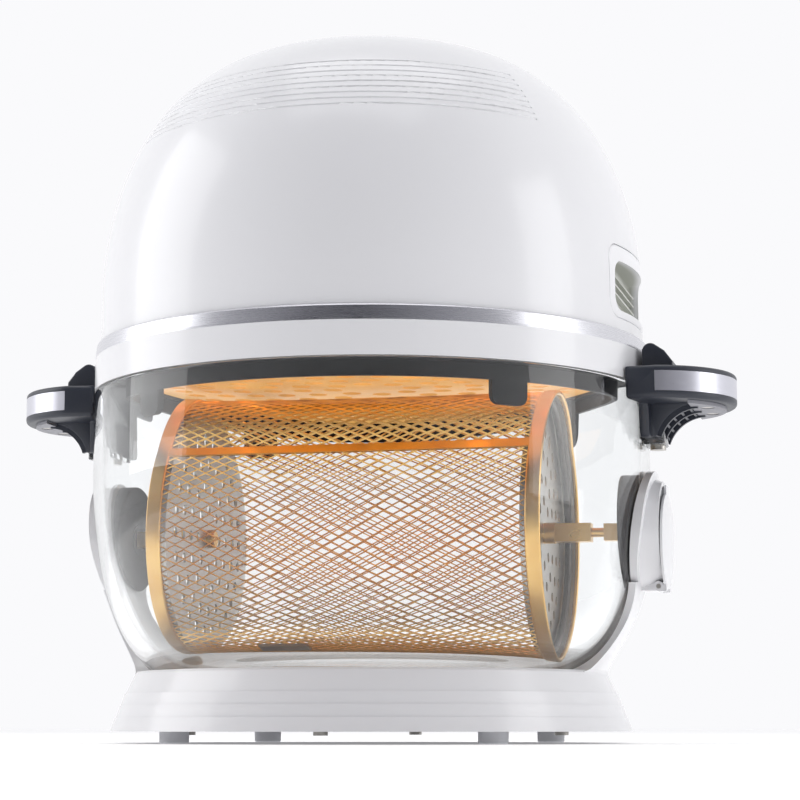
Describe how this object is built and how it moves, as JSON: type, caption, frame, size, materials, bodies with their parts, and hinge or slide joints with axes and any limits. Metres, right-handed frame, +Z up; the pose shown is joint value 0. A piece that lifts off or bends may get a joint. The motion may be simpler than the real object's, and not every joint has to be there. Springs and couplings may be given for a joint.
{
  "type": "air fryer",
  "caption": "Dome-shaped heater head with side handles, lifting off a clear round glass bowl in a stepped base, with a wire drum turning inside on magnetic hubs",
  "frame": {"origin": "centre of the overall box at floor level, under the bowl's axis", "axes": "+Z up, front faces -Y, +X to the driven arm, along the drum's axis"},
  "size_m": [0.323, 0.2456, 0.3081],
  "materials": {
    "white_shell": "satin white moulding",
    "clear_glass": "clear polished",
    "blue_grey_plastic": "fine satin",
    "bright_metal": "brushed bright",
    "grey_plastic": "fine satin",
    "black_plastic": "satin black",
    "steel": "plain steel",
    "warm_steel": "bright, heat tinted",
    "brass": "polished",
    "rubber_grey": "matt",
    "silicone": "matt",
    "magnet": "nickel plated",
    "board_green": "solder mask",
    "battery_wrap": "wrapped",
    "motor_steel": "zinc grey",
    "element_metal": "oxidised tube",
    "panel_glass": "gloss",
    "grille_grey": "satin"
  },
  "bodies": {
    "base": {"base_shell": "white_shell", "base_cover": "grey_plastic", "base_feet": "rubber_grey", "base_screws": "steel", "bowl_seat": "silicone", "battery_pack": "battery_wrap", "driver_board": "board_green", "drive_arm": "white_shell", "idler_arm": "white_shell", "keeper_magnet": "magnet", "drive_motor": "motor_steel", "cap_pin": "steel"},
    "cap": {"end_cap": "white_shell"},
    "drive_magnet": {"drive_rotor": "magnet"},
    "bowl": {"glass_bowl": "clear_glass", "handle_upper_right": "blue_grey_plastic", "handle_upper_left": "blue_grey_plastic", "handle_lower_right": "blue_grey_plastic", "handle_lower_left": "blue_grey_plastic", "handle_inlays": "bright_metal", "handle_panels": "grey_plastic", "handle_screws": "steel", "ear_screws": "steel", "interlock_magnet": "magnet", "hub_cups": "black_plastic"},
    "drum": {"basket_mesh": "warm_steel", "basket_rims": "warm_steel", "end_discs": "steel", "seam_strip": "warm_steel", "basket_latch": "steel", "stub_shafts": "steel", "shaft_nuts": "brass", "hub_rotors": "black_plastic"},
    "head": {"head_dome": "white_shell", "vent_grille_right": "grille_grey", "vent_grille_left": "grille_grey", "control_panel": "panel_glass", "control_board": "board_green", "trim_ring": "bright_metal", "head_skirt": "white_shell", "rim_seal": "silicone", "lug_collar": "black_plastic", "heater_guard": "steel", "reflector_plate": "steel", "heating_element": "element_metal", "element_clips": "steel", "temperature_sensor": "steel", "inner_partition": "steel", "head_screws": "steel", "motor_bracket": "steel", "fan_motor": "motor_steel", "power_board": "board_green", "reed_switch": "black_plastic", "cord_gland": "black_plastic"},
    "fan": {"motor_shaft": "steel", "fan_rotor": "steel", "cooling_fan": "black_plastic", "fan_nut": "steel"}
  },
  "joints": [
    {"name": "bowl_lift", "type": "slide", "parent": "base", "child": "bowl", "axis": [0, 0, 1], "range_m": [0, 0.2]},
    {"name": "head_lift", "type": "slide", "parent": "bowl", "child": "head", "axis": [0, 0, 1], "range_m": [0, 0.16]},
    {"name": "drum_spin", "type": "hinge", "parent": "bowl", "child": "drum", "pos_m": [0, 0, 0.09], "axis": [1, 0, 0], "continuous": true},
    {"name": "drive_spin", "type": "hinge", "parent": "base", "child": "drive_magnet", "pos_m": [0.1256, 0, 0.09], "axis": [1, 0, 0], "continuous": true},
    {"name": "fan_spin", "type": "hinge", "parent": "head", "child": "fan", "pos_m": [0, 0, 0.18], "axis": [0, 0, 1], "continuous": true},
    {"name": "cap_hinge", "type": "hinge", "parent": "base", "child": "cap", "pos_m": [0.1276, 0, 0.0662], "axis": [0, 1, 0], "range_deg": [0, 80]}
  ],
  "couplings": [
    {"joint": "drive_spin", "follows": "drum_spin", "ratio": 1}
  ]
}
